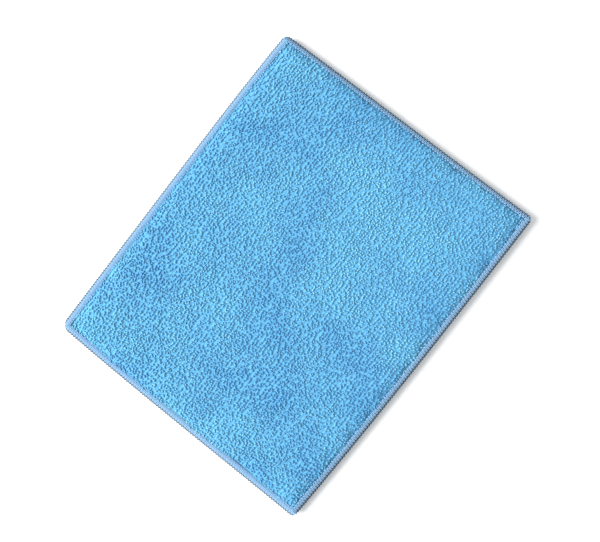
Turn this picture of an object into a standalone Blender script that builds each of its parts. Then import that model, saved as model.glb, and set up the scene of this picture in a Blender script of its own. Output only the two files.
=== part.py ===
"""Padded microfibre polishing pad with an overlocked edge.

The pad lies flat on Z = 0 with its long side along X and its middle over the origin. Two terry
cloths enclose a sheet of foam, and each of the four sides is closed by its own run of overlock
stitches, made of a needle thread, an upper looper thread and a lower looper thread.
"""

import math

import bmesh
import bpy
from mathutils import Matrix, Vector

MM = 0.001

# Driving dimensions.
PAD_LENGTH = 250 * MM           # along X, over the stitches
PAD_WIDTH = 204 * MM            # along Y, over the stitches
CLOTH_THICKNESS = 2.2 * MM      # knitted ground and loop pile, in the middle of the pad
CLOTH_AT_STITCHES = 0.8 * MM    # the same cloth where the stitches flatten it
FOAM_THICKNESS = 3.4 * MM
FOAM_AT_STITCHES = 0.9 * MM
CLEARANCE = 0.3 * MM            # kept between pieces that touch on the real pad
THREAD_LAYER = 0.55 * MM        # depth of the looper threads over the edge
NEEDLE_THREAD_DIAMETER = 0.5 * MM
STITCH_WIDTH = 5.0 * MM         # from the outer edge to the inner end of the looper threads
EDGE_ROUNDING = 1.1 * MM        # radius of the looper threads' turn over the edge
CROWN_WIDTH = 14.0 * MM         # the slope from the stitches up to the pad's flat middle
CROWN_STEPS = 6
CORNER_RADIUS = 7.0 * MM        # arc that trims the corners, drawn just outside the edges
CORNER_MARGIN = 1.0 * MM
ARC_STEPS = 8

# Heights, worked out from the middle plane of the foam.
MIDDLE_PLANE = CLOTH_THICKNESS + CLEARANCE + FOAM_THICKNESS / 2
FOAM_TOP = FOAM_THICKNESS / 2
FOAM_TOP_AT_STITCHES = FOAM_AT_STITCHES / 2
CLOTH_UNDER = FOAM_TOP + CLEARANCE
CLOTH_UNDER_AT_STITCHES = FOAM_TOP_AT_STITCHES + CLEARANCE
CLOTH_TOP = CLOTH_UNDER + CLOTH_THICKNESS
CLOTH_TOP_AT_STITCHES = CLOTH_UNDER_AT_STITCHES + CLOTH_AT_STITCHES
LOOPER_TOP = CLOTH_TOP_AT_STITCHES + CLEARANCE + THREAD_LAYER

# Places across the edge, measured inwards from the outside of the stitches.
CUT_EDGE = THREAD_LAYER + CLEARANCE
NEEDLE_LINE = STITCH_WIDTH + CLEARANCE + NEEDLE_THREAD_DIAMETER / 2
CROWN_START = NEEDLE_LINE + NEEDLE_THREAD_DIAMETER / 2 + CLEARANCE
LONG_RUN_STOP = CROWN_START     # the long runs stop short of the short sides' needle threads

PILE_BLUE = (0.155, 0.460, 0.750)
THREAD_BLUE = (0.300, 0.480, 0.860)
FOAM_WHITE = (0.800, 0.790, 0.740)


def clear_scene():
    for item in list(bpy.data.objects):
        bpy.data.objects.remove(item, do_unlink=True)


def new_collection(name):
    collection = bpy.data.collections.new(name)
    bpy.context.scene.collection.children.link(collection)
    return collection


def new_material(name, colour, roughness):
    material = bpy.data.materials.new(name)
    material.use_nodes = True
    shader = material.node_tree.nodes["Principled BSDF"]
    shader.inputs["Base Color"].default_value = (*colour, 1.0)
    shader.inputs["Roughness"].default_value = roughness
    shader.inputs["Metallic"].default_value = 0.0
    return material


def rounded_rectangle(length, width, radius):
    """Points round a rectangle whose corners are arcs."""
    points = []
    for corner, (side_x, side_y) in enumerate([(1, 1), (-1, 1), (-1, -1), (1, -1)]):
        centre = Vector((side_x * (length / 2 - radius), side_y * (width / 2 - radius)))
        for step in range(ARC_STEPS + 1):
            angle = math.pi / 2 * (corner + step / ARC_STEPS)
            points.append(centre + radius * Vector((math.cos(angle), math.sin(angle))))
    return points


def flat_outline(name, points, half_depth, collection):
    """A filled 2D curve, given depth to both sides of its plane."""
    curve = bpy.data.curves.new(name, "CURVE")
    curve.dimensions = "2D"
    curve.fill_mode = "BOTH"
    curve.extrude = half_depth
    spline = curve.splines.new("POLY")
    spline.points.add(len(points) - 1)
    for place, point in zip(spline.points, points):
        place.co = (point[0], point[1], 0.0, 1.0)
    spline.use_cyclic_u = True
    outline = bpy.data.objects.new(name, curve)
    collection.objects.link(outline)
    return outline


def as_mesh(outline):
    """Turns a curve object into a closed mesh object in the same place."""
    bpy.context.view_layer.update()
    evaluated = outline.evaluated_get(bpy.context.evaluated_depsgraph_get())
    mesh = bpy.data.meshes.new_from_object(evaluated)
    bm = bmesh.new()
    bm.from_mesh(mesh)
    bmesh.ops.remove_doubles(bm, verts=bm.verts, dist=0.001 * MM)
    bmesh.ops.recalc_face_normals(bm, faces=bm.faces)
    bm.to_mesh(mesh)
    bm.free()
    name = outline.name
    collection = outline.users_collection[0]
    place = outline.matrix_world.copy()
    bpy.data.objects.remove(outline, do_unlink=True)
    solid = bpy.data.objects.new(name, mesh)
    solid.matrix_world = place
    collection.objects.link(solid)
    return solid


def corner_trimmer(collection):
    """The rounded outline that trims the corners of whatever is cut with it."""
    points = rounded_rectangle(
        PAD_LENGTH + 2 * CORNER_MARGIN, PAD_WIDTH + 2 * CORNER_MARGIN, CORNER_RADIUS)
    trimmer = as_mesh(flat_outline("corner_trimmer", points, 2 * CLOTH_TOP, collection))
    trimmer.location.z = MIDDLE_PLANE
    trimmer.hide_render = True
    trimmer.display_type = "WIRE"
    return trimmer


def trim_corners(piece, trimmer):
    cut = piece.modifiers.new("Trimmed corners", "BOOLEAN")
    cut.operation = "INTERSECT"
    cut.solver = "EXACT"
    cut.object = trimmer


def raise_middle(bm, face, rise):
    """Insets a level face and moves its middle by rise along Z, in a rounded slope."""
    outwards = face.normal.z
    flat_rim = CROWN_START - CUT_EDGE
    bmesh.ops.inset_region(bm, faces=[face], thickness=flat_rim, depth=0.0, use_even_offset=True)
    reached = 0.0
    for step in range(1, CROWN_STEPS + 1):
        height = rise * math.sin(math.pi / 2 * step / CROWN_STEPS)
        bmesh.ops.inset_region(
            bm,
            faces=[face],
            thickness=CROWN_WIDTH / CROWN_STEPS,
            depth=(height - reached) * outwards,
            use_even_offset=True,
        )
        reached = height


def quilted_layer(name, rim, middle, material, collection):
    """A sheet of the pad: rim and middle are its lowest and highest height in each place."""
    size = Matrix.Diagonal((PAD_LENGTH - 2 * CUT_EDGE, PAD_WIDTH - 2 * CUT_EDGE, rim[1] - rim[0], 1))
    place = Matrix.Translation((0, 0, MIDDLE_PLANE + (rim[0] + rim[1]) / 2))
    bm = bmesh.new()
    bmesh.ops.create_cube(bm, size=1.0, matrix=place @ size)
    bm.normal_update()
    underside = min(bm.faces, key=lambda face: face.calc_center_median().z)
    top = max(bm.faces, key=lambda face: face.calc_center_median().z)
    raise_middle(bm, underside, middle[0] - rim[0])
    raise_middle(bm, top, middle[1] - rim[1])
    mesh = bpy.data.meshes.new(name)
    bm.to_mesh(mesh)
    bm.free()
    layer = bpy.data.objects.new(name, mesh)
    layer.data.materials.append(material)
    collection.objects.link(layer)
    return layer


def facing(direction, distance):
    """Places local X outwards, local Y up and local Z along the side, at a distance from the middle."""
    outwards = Vector((*direction, 0.0))
    up = Vector((0.0, 0.0, 1.0))
    along = outwards.cross(up)
    turn = Matrix((outwards, up, along)).transposed().to_4x4()
    return Matrix.Translation(outwards * distance + up * MIDDLE_PLANE) @ turn


def looper_profile(upwards):
    """Section of a looper layer: from its inner end, over the corner and down to the middle plane."""
    outer_turn = (-EDGE_ROUNDING, LOOPER_TOP - EDGE_ROUNDING)
    points = [(-STITCH_WIDTH, LOOPER_TOP)]
    for step in range(ARC_STEPS + 1):
        angle = math.pi / 2 * (1 - step / ARC_STEPS)
        points.append((
            outer_turn[0] + EDGE_ROUNDING * math.cos(angle),
            outer_turn[1] + EDGE_ROUNDING * math.sin(angle),
        ))
    points.append((0.0, CLEARANCE / 2))
    points.append((-THREAD_LAYER, CLEARANCE / 2))
    for step in range(ARC_STEPS + 1):
        angle = math.pi / 2 * step / ARC_STEPS
        points.append((
            outer_turn[0] + (EDGE_ROUNDING - THREAD_LAYER) * math.cos(angle),
            outer_turn[1] + (EDGE_ROUNDING - THREAD_LAYER) * math.sin(angle),
        ))
    points.append((-STITCH_WIDTH, LOOPER_TOP - THREAD_LAYER))
    return [(across, height * upwards) for across, height in points]


def looper_thread(name, upwards, side, trimmer, material, collection):
    """The layer that one looper thread makes over the top or the underside of an edge."""
    strip = flat_outline(name, looper_profile(upwards), side["looper_reach"], collection)
    strip.matrix_world = facing(side["direction"], side["edge"])
    strip = as_mesh(strip)
    strip.data.materials.append(material)
    if side["meets_corners"]:
        trim_corners(strip, trimmer)
    return strip


def needle_thread(name, side, material, collection):
    """The straight line of stitches that holds the inner ends of the upper looper thread."""
    curve = bpy.data.curves.new(name, "CURVE")
    curve.dimensions = "3D"
    curve.bevel_depth = NEEDLE_THREAD_DIAMETER / 2
    curve.bevel_resolution = 2
    curve.use_fill_caps = True
    spline = curve.splines.new("POLY")
    spline.points.add(1)
    height = CLOTH_TOP_AT_STITCHES + CLEARANCE + NEEDLE_THREAD_DIAMETER / 2
    spline.points[0].co = (-NEEDLE_LINE, height, -side["needle_reach"], 1.0)
    spline.points[1].co = (-NEEDLE_LINE, height, side["needle_reach"], 1.0)
    thread = bpy.data.objects.new(name, curve)
    thread.matrix_world = facing(side["direction"], side["edge"])
    thread.data.materials.append(material)
    collection.objects.link(thread)
    return thread


def pad_sides():
    """The four sides: the short runs go right to the corners and the long runs stop between them."""
    short = {
        "edge": PAD_LENGTH / 2,
        "looper_reach": PAD_WIDTH / 2,
        "needle_reach": PAD_WIDTH / 2 - CUT_EDGE - CLEARANCE,
        "meets_corners": True,
    }
    long = {
        "edge": PAD_WIDTH / 2,
        "looper_reach": PAD_LENGTH / 2 - LONG_RUN_STOP,
        "needle_reach": PAD_LENGTH / 2 - LONG_RUN_STOP,
        "meets_corners": False,
    }
    return {
        "right": {**short, "direction": (1, 0)},
        "left": {**short, "direction": (-1, 0)},
        "rear": {**long, "direction": (0, 1)},
        "front": {**long, "direction": (0, -1)},
    }


def build():
    clear_scene()
    pad = new_collection("polishing_pad")
    cutters = new_collection("cutters")
    trimmer = corner_trimmer(cutters)

    pile = new_material("microfibre_terry", PILE_BLUE, 0.95)
    foam = new_material("foam_sheet", FOAM_WHITE, 0.9)
    thread = new_material("overlock_thread", THREAD_BLUE, 0.7)

    layers = [
        quilted_layer(
            "top_pile_cloth",
            (CLOTH_UNDER_AT_STITCHES, CLOTH_TOP_AT_STITCHES), (CLOTH_UNDER, CLOTH_TOP), pile, pad),
        quilted_layer(
            "foam_core",
            (-FOAM_TOP_AT_STITCHES, FOAM_TOP_AT_STITCHES), (-FOAM_TOP, FOAM_TOP), foam, pad),
        quilted_layer(
            "bottom_pile_cloth",
            (-CLOTH_TOP_AT_STITCHES, -CLOTH_UNDER_AT_STITCHES), (-CLOTH_TOP, -CLOTH_UNDER), pile, pad),
    ]
    for layer in layers:
        trim_corners(layer, trimmer)

    for name, side in pad_sides().items():
        needle_thread(f"needle_thread_{name}", side, thread, pad)
        looper_thread(f"upper_looper_thread_{name}", 1, side, trimmer, thread, pad)
        looper_thread(f"lower_looper_thread_{name}", -1, side, trimmer, thread, pad)


build()
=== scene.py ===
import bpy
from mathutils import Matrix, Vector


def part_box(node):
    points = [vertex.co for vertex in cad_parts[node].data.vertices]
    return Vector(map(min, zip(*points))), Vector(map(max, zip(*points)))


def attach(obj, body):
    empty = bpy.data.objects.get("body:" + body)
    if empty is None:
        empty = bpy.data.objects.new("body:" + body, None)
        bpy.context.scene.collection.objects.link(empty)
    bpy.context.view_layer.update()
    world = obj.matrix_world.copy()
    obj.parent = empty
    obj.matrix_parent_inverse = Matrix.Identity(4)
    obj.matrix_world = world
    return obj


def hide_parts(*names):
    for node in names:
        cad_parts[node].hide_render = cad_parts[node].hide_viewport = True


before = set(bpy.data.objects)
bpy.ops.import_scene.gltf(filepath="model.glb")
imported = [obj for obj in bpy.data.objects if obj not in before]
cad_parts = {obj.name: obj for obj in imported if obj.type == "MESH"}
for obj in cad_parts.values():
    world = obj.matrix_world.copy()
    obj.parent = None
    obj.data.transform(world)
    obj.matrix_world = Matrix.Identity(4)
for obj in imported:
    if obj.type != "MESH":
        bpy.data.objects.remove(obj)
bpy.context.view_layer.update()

import math

import bpy
import numpy as np
from mathutils import Matrix, Vector

MM = 0.001

# The stand. The padded microfibre pad lies on a plain near-white table that glows faintly. A large soft
# lamp lights it from the left, with a weak one above and an even sky, and it is looked at from almost
# straight above.

scene = bpy.context.scene
scene.view_settings.view_transform = "Standard"


def look_along(place, target, top_of_picture):
    ahead = (Vector(target) - Vector(place)).normalized()
    right = ahead.cross(Vector(top_of_picture)).normalized()
    up = right.cross(ahead)
    turn = Matrix((right, up, -ahead)).transposed().to_4x4()
    return Matrix.Translation(place) @ turn


EYE = (0.0241, -0.0262, 0.3897)
LOOKED_AT = (0.0062, -0.0039, 0.0040)
TURN_IN_PICTURE = math.radians(37.9)
camera_data = bpy.data.cameras.new("camera")
camera_data.lens = 35.0
camera_data.sensor_width = 36.0
camera_data.clip_start = 0.01
camera = bpy.data.objects.new("camera", camera_data)
picture_up = (math.cos(TURN_IN_PICTURE), math.sin(TURN_IN_PICTURE), 0.0)
camera.matrix_world = look_along(EYE, LOOKED_AT, picture_up)
scene.collection.objects.link(camera)
scene.camera = camera


def add_lamp(name, toward, elevation, distance, size, power, colour):
    """A square lamp that faces the pad: toward is its compass angle in the picture, 0 to the right."""
    compass = toward + TURN_IN_PICTURE - math.pi / 2
    place = Vector((
        distance * math.cos(elevation) * math.cos(compass),
        distance * math.cos(elevation) * math.sin(compass),
        distance * math.sin(elevation),
    ))
    light = bpy.data.lights.new(name, "AREA")
    light.size = size
    light.energy = power
    light.color = colour
    lamp = bpy.data.objects.new(name, light)
    lamp.matrix_world = look_along(place, (0.0, 0.0, 0.0), (0.0, 0.0, 1.0))
    scene.collection.objects.link(lamp)


add_lamp("key_lamp", math.radians(180), math.radians(35), 2.4, 1.4, 86.0, (1.0, 0.99, 0.97))
add_lamp("fill_lamp", math.radians(100), math.radians(75), 2.0, 1.6, 3.5, (0.96, 0.98, 1.0))

sky = bpy.data.worlds.new("sky")
sky.use_nodes = True
sky.node_tree.nodes["Background"].inputs["Color"].default_value = (0.95, 0.975, 1.0, 1.0)
sky.node_tree.nodes["Background"].inputs["Strength"].default_value = 0.50
scene.world = sky

table_mesh = bpy.data.meshes.new("table_top")
reach = 4.0
table_mesh.from_pydata(
    [(-reach, -reach, 0), (reach, -reach, 0), (reach, reach, 0), (-reach, reach, 0)], [], [(0, 1, 2, 3)])
table = bpy.data.objects.new("table_top", table_mesh)
table.location.z = -0.05 * MM
scene.collection.objects.link(table)
table_paint = bpy.data.materials.new("table_paint")
table_paint.use_nodes = True
paint_shader = table_paint.node_tree.nodes["Principled BSDF"]
paint_shader.inputs["Base Color"].default_value = (0.93, 0.93, 0.93, 1.0)
paint_shader.inputs["Roughness"].default_value = 0.8
paint_shader.inputs["Emission Color"].default_value = (1.0, 1.0, 1.0, 1.0)
paint_shader.inputs["Emission Strength"].default_value = 0.12
table_mesh.materials.append(table_paint)

# The foam core. A sheet of soft polyurethane foam is cut to the pad's outline. The stitches squeeze
# its rim flat and pull the outline a little out of true, and between them the foam swells up.

foam_low, foam_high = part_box("foam_core")
half_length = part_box("upper_looper_thread_right")[1].x
half_width = -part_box("upper_looper_thread_front")[0].y
middle_height = (foam_low.z + foam_high.z) / 2
foam_half = (foam_high.z - foam_low.z) / 2
foam_half_at_stitches = 0.45 * MM
cut_edge = half_length - foam_high.x
cloth_edge = 0.35 * MM
rim_width = 1.3 * MM
crown_width = 16.0 * MM

# How the stitching draws each side out of true, in mm outwards: the bow of its middle, then the pull at
# its low end and at its high end along +X or +Y.
STRAY = {
    "rear": (0.0, 0.0, -2.0),
    "front": (1.0, -1.0, 0.0),
    "right": (0.0, 0.5, -0.5),
    "left": (0.5, 0.5, -1.0),
}

# The corners' radii, by the signs of x and y there.
CORNER_RADIUS = {(1, 1): 5.0 * MM, (1, -1): 4.0 * MM, (-1, -1): 4.0 * MM, (-1, 1): 7.0 * MM}

# How far in from each side's outermost line the needle stitches.
NEEDLE_LINE = {"rear": 4.7 * MM, "front": 4.4 * MM, "right": 3.6 * MM, "left": 4.7 * MM}


def strayed(side, share):
    """The stray of a side where share runs from 0 at its low end to 1 at its high end."""
    bow, low_end, high_end = STRAY[side]
    share = np.clip(share, 0, 1)
    return MM * (bow * np.sin(np.pi * share) + low_end * (1 - share) ** 6 + high_end * share ** 6)


def sewn(x, y):
    """Where a point of the flat rectangular cut ends up once the pad is sewn."""
    x, y = np.array(x, float), np.array(y, float)
    for (side_x, side_y), radius in CORNER_RADIUS.items():
        a = (side_x * x - half_length + radius) / radius
        b = (side_y * y - half_width + radius) / radius
        inside = (a > 0) & (b > 0)
        a, b = np.where(inside, a, 0), np.where(inside, b, 0)
        x = np.where(inside, side_x * (half_length - radius + radius * a * np.sqrt(1 - b * b / 2)), x)
        y = np.where(inside, side_y * (half_width - radius + radius * b * np.sqrt(1 - a * a / 2)), y)
    share_x = (x / half_length + 1) / 2
    share_y = (y / half_width + 1) / 2
    moved_x = strayed("right", share_y) * np.clip(x / half_length, 0, 2) ** 2
    moved_x -= strayed("left", share_y) * np.clip(-x / half_length, 0, 2) ** 2
    moved_y = strayed("rear", share_x) * np.clip(y / half_width, 0, 2) ** 2
    moved_y -= strayed("front", share_x) * np.clip(-y / half_width, 0, 2) ** 2
    return x + moved_x, y + moved_y


def slope_up(distance, width):
    return np.sin(np.pi / 2 * np.clip(distance / width, 0, 1))


def ripple(x, y, wavelength, seed):
    """Smooth random waves of about one wavelength, mostly between -1 and 1."""
    draw = np.random.default_rng(seed)
    total = np.zeros(np.broadcast(x, y).shape)
    waves = 14
    for _ in range(waves):
        angle, phase = draw.uniform(0, 2 * np.pi, 2)
        pace = 2 * np.pi / (wavelength * draw.uniform(0.7, 1.4))
        total = total + np.cos(pace * (x * np.cos(angle) + y * np.sin(angle)) + phase)
    return total / np.sqrt(waves)


def from_needles(x, y):
    """How far a place lies inside the needle lines of the two ends and of the two long sides."""
    from_end = half_length - np.abs(x) - np.where(x > 0, NEEDLE_LINE["right"], NEEDLE_LINE["left"])
    from_side = half_width - np.abs(y) - np.where(y > 0, NEEDLE_LINE["rear"], NEEDLE_LINE["front"])
    return from_end, from_side


def crown(x, y):
    """0 along the stitches and 1 in the pad's middle. The slope between them is rounded and puckered."""
    from_end, from_side = from_needles(x, y)
    pucker = 0.6 * MM * ripple(x, y, 15 * MM, 3)
    from_end = np.where(from_end > 0, np.maximum(from_end + pucker, 0), 0)
    from_side = np.where(from_side > 0, np.maximum(from_side + pucker, 0), 0)
    steep = slope_up(from_end, crown_width / 2) * slope_up(from_side, crown_width / 2)
    gentle = slope_up(from_end, crown_width) * slope_up(from_side, crown_width)
    return 0.7 * steep + 0.3 * gentle


def shown(name, mesh, material):
    """Puts a finished mesh in the scene as a smooth-shaded piece that rides with the pad."""
    piece = bpy.data.objects.new(name, mesh)
    scene.collection.objects.link(piece)
    mesh.shade_smooth()
    mesh.materials.append(material)
    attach(piece, "root")
    return piece


def pillow_grid(inset, step):
    """Flat places on a grid over the cut, out to inset from the outline."""
    count_x = round(2 * (half_length - inset) / step) + 1
    count_y = round(2 * (half_width - inset) / step) + 1
    along = np.linspace(-half_length + inset, half_length - inset, count_x)
    up = np.linspace(-half_width + inset, half_width - inset, count_y)
    return np.meshgrid(along, up, indexing="ij")


def sheet_mesh(name, flat_x, flat_y, upper, lower):
    """A closed layer between two heights, given on a grid of flat places."""
    rows, columns = flat_x.shape
    x, y = sewn(flat_x, flat_y)
    points = np.concatenate([
        np.stack([x, y, upper], -1).reshape(-1, 3), np.stack([x, y, lower], -1).reshape(-1, 3)])
    under = rows * columns
    place = np.arange(under).reshape(rows, columns)
    top = np.stack([place[:-1, :-1], place[1:, :-1], place[1:, 1:], place[:-1, 1:]], -1).reshape(-1, 4)
    bottom = top[:, ::-1] + under
    rim = np.concatenate([place[:-1, 0], place[-1, :-1], place[:0:-1, -1], place[0, :0:-1]])
    after = np.roll(rim, -1)
    wall = np.stack([rim, rim + under, after + under, after], -1)
    mesh = bpy.data.meshes.new(name)
    mesh.from_pydata(points.tolist(), [], np.concatenate([top, bottom, wall]).tolist())
    return mesh


SWELL_STEP = 4.0 * MM
SWELL_LIMIT = 0.7 * MM
SWELL_SHARE = 0.6
swell_x, swell_y = pillow_grid(cut_edge, SWELL_STEP)


def swollen_foam():
    """How far the foam's two faces swell when its rim is held and its skin is blown up a little."""
    half = foam_half_at_stitches + (foam_half - foam_half_at_stitches) * crown(swell_x, swell_y)
    lumps = 0.25 * MM * ripple(swell_x, swell_y, 38 * MM, 5) * crown(swell_x, swell_y)
    mesh = sheet_mesh("foam_skin", swell_x, swell_y, half + lumps, -half + lumps)
    skin = bpy.data.objects.new("foam_skin", mesh)
    scene.collection.objects.link(skin)
    held = skin.vertex_groups.new(name="held_by_stitches")
    in_rim = np.minimum(*from_needles(swell_x, swell_y)) < 0
    in_rim = np.concatenate([in_rim.ravel(), in_rim.ravel()])
    held.add(np.flatnonzero(in_rim).tolist(), 1.0, "REPLACE")
    cloth = skin.modifiers.new("cloth", "CLOTH")
    cloth.settings.quality = 6
    cloth.settings.mass = 0.2
    cloth.settings.use_pressure = True
    cloth.settings.uniform_pressure_force = 4.0
    cloth.settings.shrink_min = -0.015
    cloth.settings.vertex_group_mass = held.name
    cloth.settings.effector_weights.gravity = 0.0
    cloth.collision_settings.use_collision = False
    frames = 20
    cloth.point_cache.frame_start = 1
    cloth.point_cache.frame_end = frames
    for step in range(1, frames + 1):
        scene.frame_set(step)
    blown = skin.evaluated_get(bpy.context.evaluated_depsgraph_get())
    height = np.array([point.co.z for point in blown.data.vertices]).reshape(2, *swell_x.shape)
    start = np.stack([half, -half])
    scene.frame_set(1)
    bpy.data.objects.remove(skin, do_unlink=True)
    moved = height - start
    return SWELL_LIMIT * np.tanh(moved / SWELL_LIMIT)


swell_up, swell_down = np.zeros(swell_x.shape), np.zeros(swell_x.shape)
swell_up, swell_down = swollen_foam()


def read_grid(values, x, y):
    """Reads the swell at any flat place, evenly between the grid's points."""
    rows, columns = values.shape
    at_x = np.clip((x / (half_length - cut_edge) + 1) / 2, 0, 1) * (rows - 1)
    at_y = np.clip((y / (half_width - cut_edge) + 1) / 2, 0, 1) * (columns - 1)
    i, j = np.minimum(at_x.astype(int), rows - 2), np.minimum(at_y.astype(int), columns - 2)
    u, v = at_x - i, at_y - j
    return ((values[i, j] * (1 - u) + values[i + 1, j] * u) * (1 - v)
            + (values[i, j + 1] * (1 - u) + values[i + 1, j + 1] * u) * v)


def rim_rounding(x, y):
    """0.15 at the cloths' cut edge, where the layers are drawn together, and 1 a little further in."""
    from_edge = np.minimum(half_length - np.abs(x), half_width - np.abs(y)) - cloth_edge
    return 0.15 + 0.85 * np.sqrt(1 - (1 - np.clip(from_edge / rim_width, 0, 1)) ** 2)


def foam_face(x, y, face):
    """Height of the foam's upper face (face 1) or lower face (face -1) above the table."""
    half = foam_half_at_stitches + (foam_half - foam_half_at_stitches) * crown(x, y)
    swell = read_grid(swell_up, x, y) if face > 0 else -read_grid(swell_down, x, y)
    return middle_height + face * (half * rim_rounding(x, y) + SWELL_SHARE * swell)


def new_material(name, roughness, sheen):
    """A matt, barely shiny material for cloth, thread and foam."""
    material = bpy.data.materials.new(name)
    material.use_nodes = True
    shader = material.node_tree.nodes["Principled BSDF"]
    shader.inputs["Roughness"].default_value = roughness
    shader.inputs["Specular IOR Level"].default_value = 0.08
    shader.inputs["Sheen Weight"].default_value = sheen
    shader.inputs["Sheen Roughness"].default_value = 0.4
    return material, material.node_tree, shader


def add_node(tree, kind, settings=(), **inputs):
    """Adds a node: settings are its own properties, inputs its sockets' values or links."""
    node = tree.nodes.new(kind)
    for name, value in dict(settings).items():
        setattr(node, name, value)
    for name, value in inputs.items():
        socket = node.inputs[name.replace("_", " ")]
        if isinstance(value, bpy.types.NodeSocket):
            tree.links.new(value, socket)
        else:
            socket.default_value = value
    return node


def colour_ramp(tree, factor, stops):
    ramp = add_node(tree, "ShaderNodeValToRGB", Fac=factor)
    elements = ramp.color_ramp.elements
    while len(elements) < len(stops):
        elements.new(0.5)
    for element, (position, colour) in zip(elements, stops):
        element.position = position
        element.color = (*colour, 1.0)
    return ramp.outputs["Color"]


def add_bump(tree, shader, height, distance):
    bump = add_node(tree, "ShaderNodeBump", Height=height, Distance=distance)
    tree.links.new(bump.outputs["Normal"], shader.inputs["Normal"])


foam_material, tree, shader = new_material("open_cell_foam", 0.95, 0.1)
place = add_node(tree, "ShaderNodeTexCoord").outputs["Object"]
cells = add_node(tree, "ShaderNodeTexVoronoi", Vector=place, Scale=1400.0).outputs["Distance"]
foam_colour = colour_ramp(tree, cells, [(0.0, (0.42, 0.40, 0.34)), (0.6, (0.80, 0.79, 0.74))])
tree.links.new(foam_colour, shader.inputs["Base Color"])
add_bump(tree, shader, cells, 0.3 * MM)

grid_x, grid_y = pillow_grid(cut_edge, 2.5 * MM)
foam_mesh = sheet_mesh(
    "foam_sheet", grid_x, grid_y, foam_face(grid_x, grid_y, 1), foam_face(grid_x, grid_y, -1))
foam_piece = shown("foam_sheet", foam_mesh, foam_material)
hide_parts("foam_core")

# The cloths' knitted ground. Each face is a warp-knitted microfibre cloth, cut to the pad's outline
# and laid over the foam. Its ground is a thin, dense knit whose ribs run along the pad.

GROUND_THICKNESS = 1.15 * MM
GROUND_AT_STITCHES = 0.35 * MM
ROW_PITCH = 2.3 * MM
LAYER_GAP = 0.03 * MM


def ground_face(x, y, face):
    """Height of the outer side of the knitted ground on one face."""
    thickness = GROUND_AT_STITCHES + (GROUND_THICKNESS - GROUND_AT_STITCHES) * crown(x, y)
    return foam_face(x, y, face) + face * (LAYER_GAP + thickness) * rim_rounding(x, y)


def multiplied(tree, colour, by):
    """One colour multiplied by another."""
    mix = add_node(tree, "ShaderNodeMix", {"data_type": "RGBA", "blend_type": "MULTIPLY"}, Factor=1.0)
    tree.links.new(colour, mix.inputs[6])
    tree.links.new(by, mix.inputs[7])
    return mix.outputs[2]


# The ground's knit blues are deeper than the loops': the knit's own blue, darkened with painted shade for
# the pits between the loops.
DEEP_BLUE = (0.17, 0.51, 0.80)
ground_material, tree, shader = new_material("knitted_ground", 0.95, 0.05)
place = add_node(tree, "ShaderNodeTexCoord").outputs["Object"]
ribs = add_node(
    tree, "ShaderNodeTexWave", {"bands_direction": "Y"},
    Vector=place, Scale=1 / ROW_PITCH * 2 * math.pi / 20, Distortion=1.5, Detail=2.0).outputs["Fac"]
knit_colour = colour_ramp(tree, ribs, [(0.0, (0.125, 0.44, 0.72)), (1.0, DEEP_BLUE)])
# Painted shade: the ground's colour runs to near black under the overlock band and at the cloth's cut
# edge, where the threads shade it.
band_shade_here = add_node(tree, "ShaderNodeAttribute", {"attribute_name": "band_shade"}).outputs["Fac"]
band_shade_colour = colour_ramp(
    tree, band_shade_here, [(0.48, (1.0, 1.0, 1.0)), (0.7, (0.58, 0.48, 0.48)), (0.95, (0.16, 0.15, 0.17))])
tree.links.new(multiplied(tree, knit_colour, band_shade_colour), shader.inputs["Base Color"])
add_bump(tree, shader, ribs, 0.2 * MM)

for name, face in (("top", 1), ("bottom", -1)):
    grid_x, grid_y = pillow_grid(cloth_edge, 1.2 * MM)
    outer = ground_face(grid_x, grid_y, face)
    inner = foam_face(grid_x, grid_y, face) + face * LAYER_GAP * rim_rounding(grid_x, grid_y)
    upper, lower = (outer, inner) if face > 0 else (inner, outer)
    cloth_mesh = sheet_mesh(f"{name}_cloth", grid_x, grid_y, upper, lower)
    # Painted shade: 0 in the open middle, rising under the band along the stitches and at the cut edge.
    band_shade = cloth_mesh.attributes.new("band_shade", "FLOAT", "POINT")
    from_edge = np.minimum(half_length - np.abs(grid_x), half_width - np.abs(grid_y))
    band_shade_amount = 0.7 * (1 - crown(grid_x, grid_y)) + 0.3 * (1 - slope_up(from_edge - cloth_edge, 2.5 * MM))
    band_shade.data.foreach_set("value", np.tile(band_shade_amount.ravel(), 2).astype(np.float32))
    shown(f"{name}_cloth", cloth_mesh, ground_material)
    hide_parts(f"{name}_pile_cloth")

# The pile. Loops of soft split microfibre yarn stand in rows along the pad, knitted into the ground.
# Use and packing press them over, so each loop leans and twists its own way and shows as an arch.

PILE_HEIGHT = 0.62 * MM
COURSE_PITCH = 1.7 * MM
YARN_RADIUS = 0.52 * MM
LOOP_POINTS = 6
LOOP_SIDES = 4


def swept(path, up, wide, thick, sides):
    """Tubes of oval section along paths.

    path and up are (tube, point, 3), wide and thick (tube, point). Returns the tubes' points, their
    four-sided faces, and the caps that close their two ends.
    """
    tubes, count = path.shape[:2]
    along = np.gradient(path, axis=1)
    along /= np.linalg.norm(along, axis=2, keepdims=True)
    across = np.cross(along, up)
    across /= np.linalg.norm(across, axis=2, keepdims=True)
    up = np.cross(across, along)
    angle = 2 * np.pi * np.arange(sides) / sides
    points = (path[:, :, None]
              + across[:, :, None] * (wide[:, :, None] * np.cos(angle))[..., None]
              + up[:, :, None] * (thick[:, :, None] * np.sin(angle))[..., None]).reshape(-1, 3)
    first = np.arange(tubes * count).reshape(tubes, count) * sides
    here = first[:, :-1, None] + np.arange(sides)
    there = first[:, :-1, None] + (np.arange(sides) + 1) % sides
    quads = np.stack([here, there, there + sides, here + sides], -1).reshape(-1, 4)
    ring = np.arange(sides)
    caps = np.concatenate([first[:, 0, None] + ring[::-1], first[:, -1, None] + ring])
    return points, quads, caps


def tube_mesh(name, points, quads, caps):
    mesh = bpy.data.meshes.new(name)
    mesh.from_pydata(points.tolist(), [], quads.tolist() + caps.tolist())
    return mesh


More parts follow.
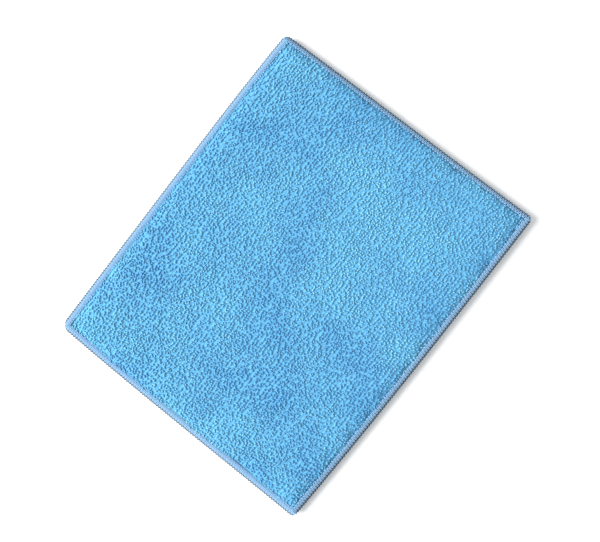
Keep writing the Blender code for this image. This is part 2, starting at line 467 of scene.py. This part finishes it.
def pile_loops(face, seed):
    """The centre lines of all the loops on one face, with their thickness and their shade: painted shade
    towards the loops' roots mixed with a random tone per loop.
    """
    draw = np.random.default_rng(seed)
    rows = np.arange(-half_width + NEEDLE_LINE["front"] + 0.6 * MM, half_width, ROW_PITCH)
    courses = np.arange(-half_length, half_length, COURSE_PITCH)
    base_x, base_y = np.meshgrid(courses, rows)
    base_x = base_x + np.where(np.arange(len(rows)) % 2, 0.5, 0.0)[:, None] * COURSE_PITCH
    free = np.minimum(*from_needles(base_x, base_y)) > 0.2 * MM
    base_x, base_y = base_x[free], base_y[free]
    count = len(base_x)
    base_x = base_x + draw.normal(0, 0.42 * MM, count)
    base_y = base_y + draw.normal(0, 0.50 * MM, count)
    base_x = base_x + 0.9 * MM * ripple(base_x, base_y, 40 * MM, seed + 1)
    base_y = base_y + 0.9 * MM * ripple(base_x, base_y, 40 * MM, seed + 2)

    lean_angle = draw.uniform(0, 2 * np.pi, count)
    lean = draw.uniform(0.0, 0.8, count) * MM
    twist = draw.uniform(0, 2 * np.pi, count)
    height = PILE_HEIGHT * draw.uniform(0.8, 1.2, count)
    leg_gap = draw.uniform(0.6, 1.2, count) * MM
    radius = YARN_RADIUS * draw.uniform(0.85, 1.15, count)

    part = np.linspace(0, 1, LOOP_POINTS)
    arch = np.sin(np.pi * part)
    rise = arch ** 0.75
    spread = np.cos(np.pi * part) / 2 * (1 + 0.7 * arch)
    across = leg_gap[:, None] * spread
    over = lean[:, None] * rise ** 1.4
    flat_x = base_x[:, None] + across * np.cos(twist)[:, None] + over * np.cos(lean_angle)[:, None]
    flat_y = base_y[:, None] + across * np.sin(twist)[:, None] + over * np.sin(lean_angle)[:, None]
    from_stitches = np.minimum(*from_needles(flat_x, flat_y))
    pressed = 0.7 + 0.3 * slope_up(from_stitches, 3 * MM)
    up = height[:, None] * rise * pressed
    bedded = 0.3 * MM * (1 - rise)
    z = ground_face(flat_x, flat_y, face) + face * (up - bedded)
    x, y = sewn(flat_x, flat_y)
    path = np.stack([x, y, z], -1)

    side_of_loop = path[:, 0] - path[:, -1]
    to_top = path[:, 2] + path[:, -3] - path[:, 0] - path[:, -1]
    flat_of_loop = np.cross(side_of_loop, to_top)
    flat_of_loop /= np.linalg.norm(flat_of_loop, axis=1, keepdims=True) + 1e-12
    flat_of_loop = np.repeat(flat_of_loop[:, None], LOOP_POINTS, axis=1)
    thickness = radius[:, None] * (0.65 + 0.45 * arch)
    path[:, :, 2] = np.maximum(path[:, :, 2], thickness)
    # Painted shade: each loop darkens towards its roots, where the neighbouring loops shade it, mixed
    # with a random tone per loop.
    shade = 0.35 * draw.random(count)[:, None] + 0.65 * arch
    return path, flat_of_loop, thickness, shade


PALE_BLUE = (0.325, 0.765, 0.970)
SKY_BLUE = (0.265, 0.650, 0.925)
DUSK_BLUE = (0.190, 0.530, 0.865)
pile_material, tree, shader = new_material("microfibre_loops", 0.95, 0.03)
place = add_node(tree, "ShaderNodeTexCoord").outputs["Object"]
clouds = add_node(
    tree, "ShaderNodeTexNoise", Vector=place, Scale=20.0, Detail=3.0, Roughness=0.6).outputs["Fac"]
cloud_colour = colour_ramp(tree, clouds, [(0.36, DUSK_BLUE), (0.50, SKY_BLUE), (0.64, PALE_BLUE)])
shade = add_node(tree, "ShaderNodeAttribute", {"attribute_name": "shade"}).outputs["Fac"]
# Painted shade: low values darken the yarn to a deeper teal towards the loops' roots.
shade_colour = colour_ramp(tree, shade, [(0.1, (0.24, 0.56, 0.69)), (0.85, (1.0, 1.0, 1.0))])
shaded = multiplied(tree, cloud_colour, shade_colour)
flecks = add_node(
    tree, "ShaderNodeTexNoise", Vector=place, Scale=1500.0, Detail=2.0, Roughness=0.6).outputs["Fac"]
fleck_colour = colour_ramp(tree, flecks, [(0.35, (0.80, 0.88, 0.93)), (0.65, (1.0, 1.0, 1.0))])
tree.links.new(multiplied(tree, shaded, fleck_colour), shader.inputs["Base Color"])
fluff = add_node(
    tree, "ShaderNodeTexNoise", Vector=place, Scale=5000.0, Detail=3.0, Roughness=0.7).outputs["Fac"]
add_bump(tree, shader, fluff, 0.3 * MM)

for name, face, seed in (("top", 1, 11), ("bottom", -1, 23)):
    path, flat_of_loop, thickness, shades = pile_loops(face, seed)
    points, quads, caps = swept(path, flat_of_loop, thickness, thickness, LOOP_SIDES)
    pile_mesh = tube_mesh(f"{name}_pile", points, quads, caps)
    shade_of_points = pile_mesh.attributes.new("shade", "FLOAT", "POINT")
    shade_of_points.data.foreach_set("value", np.repeat(shades.ravel(), LOOP_SIDES).astype(np.float32))
    pile = shown(f"{name}_pile", pile_mesh, pile_material)

# The overlock stitches. Each side has its own run: a needle thread that stitches straight through all
# the layers, and two looper threads of soft crimped polyester that zigzag from it to the edge, one
# over the top and one underneath, and hook into each other along the outermost line.

STITCH = 2.0 * MM
THREAD_WIDTH = 0.60 * MM
THREAD_THICKNESS = 0.27 * MM
# The long sides' runs stop this far short of the corners, under the ends' runs.
STOPS_SHORT = 3.0 * MM

THREAD_BLUE = (0.330, 0.560, 0.800)
thread_material, tree, shader = new_material("crimped_polyester_thread", 0.75, 0.3)
place = add_node(tree, "ShaderNodeTexCoord").outputs["Object"]
strands = add_node(
    tree, "ShaderNodeTexNoise", Vector=place, Scale=3500.0, Detail=3.0, Roughness=0.6).outputs["Fac"]
strand_colour = colour_ramp(tree, strands, [(0.3, (0.265, 0.460, 0.710)), (0.7, THREAD_BLUE)])
# Painted shade: the looper threads darken towards the outermost line, where the band rolls down and
# under.
outer_line_shade_here = add_node(tree, "ShaderNodeAttribute", {"attribute_name": "outer_line_shade"}).outputs["Fac"]
outer_line_shade_colour = colour_ramp(tree, outer_line_shade_here, [(0.0, (1.0, 1.0, 1.0)), (1.0, (0.42, 0.32, 0.25))])
tree.links.new(multiplied(tree, strand_colour, outer_line_shade_colour), shader.inputs["Base Color"])
add_bump(tree, shader, strands, 0.08 * MM)

# Each side's band in section: where its ridge lies (as a share of the way in), its height there and at
# the needle line in mm, how steeply the whole band climbs inwards, and how full its thread lies.
SIDES = {
    "right": {"outwards": (1, 0), "edge": half_length, "reach": half_width,
              "section": (0.62, 0.60, 0.42, 0.48, 0.60)},
    "left": {"outwards": (-1, 0), "edge": half_length, "reach": half_width,
             "section": (0.55, 1.50, 0.60, 0.0, 0.95)},
    "rear": {"outwards": (0, 1), "edge": half_width, "reach": half_length - STOPS_SHORT,
             "section": (0.52, 1.60, 0.70, 0.0, 1.0)},
    "front": {"outwards": (0, -1), "edge": half_width, "reach": half_length - STOPS_SHORT,
              "section": (0.62, 0.90, 0.55, 0.32, 0.75)},
}
for name, side in SIDES.items():
    side["needle_line"] = NEEDLE_LINE[name]


def band_section(side, q):
    """The band's rounded section: from q 0 at the outermost line, over the ridge at 0.5, to the needle
    line at 1. Returns the distance inwards and the height over the middle."""
    place, top, furrow, climb, _ = side["section"]
    turn = np.clip(q / 0.5, -0.5, 1) * np.pi / 2
    fall = np.clip((q - 0.5) / 0.5, 0, 1.3)
    ridge = place * side["needle_line"]
    bevel = 1.35
    rise = np.sign(turn) * np.abs(np.sin(turn)) ** bevel
    come_in = 1 - np.cos(turn) ** bevel
    inwards = np.where(q < 0.5, ridge * come_in, ridge + (side["needle_line"] - ridge) * fall)
    eased = fall * fall * (3 - 2 * fall)
    height = MM * np.where(q < 0.5, top * rise, top - (top - furrow) * eased)
    return inwards, height + climb * inwards


def on_side(side, along, inwards, height):
    """Points given along a side, inwards from its outermost line and above the middle plane."""
    out_x, out_y = side["outwards"]
    flat_x = out_x * (side["edge"] - inwards) - out_y * along
    flat_y = out_y * (side["edge"] - inwards) + out_x * along
    x, y = sewn(flat_x, flat_y)
    return np.stack([x, y, middle_height + height], -1)


def looper_thread(name, side, face, seed):
    """One looper thread's zigzag: it climbs from the outermost line to the needle line and back."""
    draw = np.random.default_rng(seed)
    beat = np.array([0.0, 0.07, 0.13, 0.20, 0.24, 0.36, 0.64, 0.76, 0.80, 0.87, 0.93])
    climb = np.array([-0.08, 0.08, 0.24, 0.38, 0.70, 1.0, 1.0, 0.70, 0.38, 0.24, 0.08])
    spread = np.array([0.54, 0.56, 0.64, 0.92, 1.05, 0.9, 0.9, 1.05, 0.92, 0.64, 0.56])
    stitches = int(2 * side["reach"] / STITCH)
    start = -stitches * STITCH / 2
    along = start + STITCH * (np.arange(stitches)[:, None] + beat)
    q = np.tile(climb, (stitches, 1))
    along = along + draw.normal(0, 0.05 * MM, (stitches, 1)) + 0.12 * STITCH * q
    along, q = along.ravel(), q.ravel()
    inwards, height = band_section(side, q)
    step = 0.01
    further_in, further_up = band_section(side, q + step)
    run, rise = further_in - inwards, further_up - height
    length = np.hypot(run, rise)
    facing_in, facing_up = -rise / length, run / length
    lift = 0.05 * MM
    path = on_side(side, along, inwards + lift * facing_in, face * (height + lift * facing_up))
    out = np.array([*side["outwards"], 0.0])
    up = -facing_in[:, None] * out + facing_up[:, None] * np.array([0, 0, face])
    fullness = side["section"][-1]
    wide = THREAD_WIDTH * fullness * np.tile(spread, stitches) * draw.uniform(0.92, 1.08, len(q))
    thick = np.full(len(q), THREAD_THICKNESS)
    points, quads, caps = swept(path[None], up[None], wide[None], thick[None], 6)
    mesh = tube_mesh(name, points, quads, caps)
    # Painted shade: 1 along the outermost line, fading out before the band's ridge.
    outer_line_shade = mesh.attributes.new("outer_line_shade", "FLOAT", "POINT")
    outer_line_shade.data.foreach_set("value", np.repeat(1 - np.clip((q - 0.24) / 0.14, 0, 1), 6).astype(np.float32))
    return mesh


def needle_thread(name, side, seed):
    """The needle thread: a stitch on top, then down through the layers for a small loop, and up again."""
    draw = np.random.default_rng(seed)
    beat = np.array([0.06, 0.2, 0.4, 0.6, 0.8, 0.94, 0.97, 0.98, 1.0, 1.02, 1.03])
    height = np.array([0.9, 1.1, 1.2, 1.2, 1.1, 0.9, 0.3, -0.8, -1.3, -0.8, 0.3]) * MM
    stitches = int(2 * side["reach"] / STITCH) - 2
    start = -stitches * STITCH / 2
    along = (start + STITCH * (np.arange(stitches)[:, None] + beat)).ravel()
    height = np.tile(height, stitches)
    inwards = np.full(len(along), side["needle_line"]) + draw.normal(0, 0.04 * MM, len(along))
    path = on_side(side, along, inwards, height)
    up = np.tile(np.array([*side["outwards"], 0.0]), (len(along), 1))
    radius = np.full(len(along), 0.24 * MM)
    points, quads, caps = swept(path[None], up[None], radius[None], radius[None], 6)
    return tube_mesh(name, points, quads, caps)


for seed, (name, side) in enumerate(SIDES.items()):
    node = f"needle_thread_{name}"
    needle_piece = shown(f"{node}_stitches", needle_thread(node, side, 40 + seed), thread_material)
    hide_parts(node)
    for place_name, face in (("upper", 1), ("lower", -1)):
        node = f"{place_name}_looper_thread_{name}"
        looper_mesh = looper_thread(node, side, face, 60 + 10 * seed + face)
        looper_piece = shown(f"{node}_stitches", looper_mesh, thread_material)
        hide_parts(node)
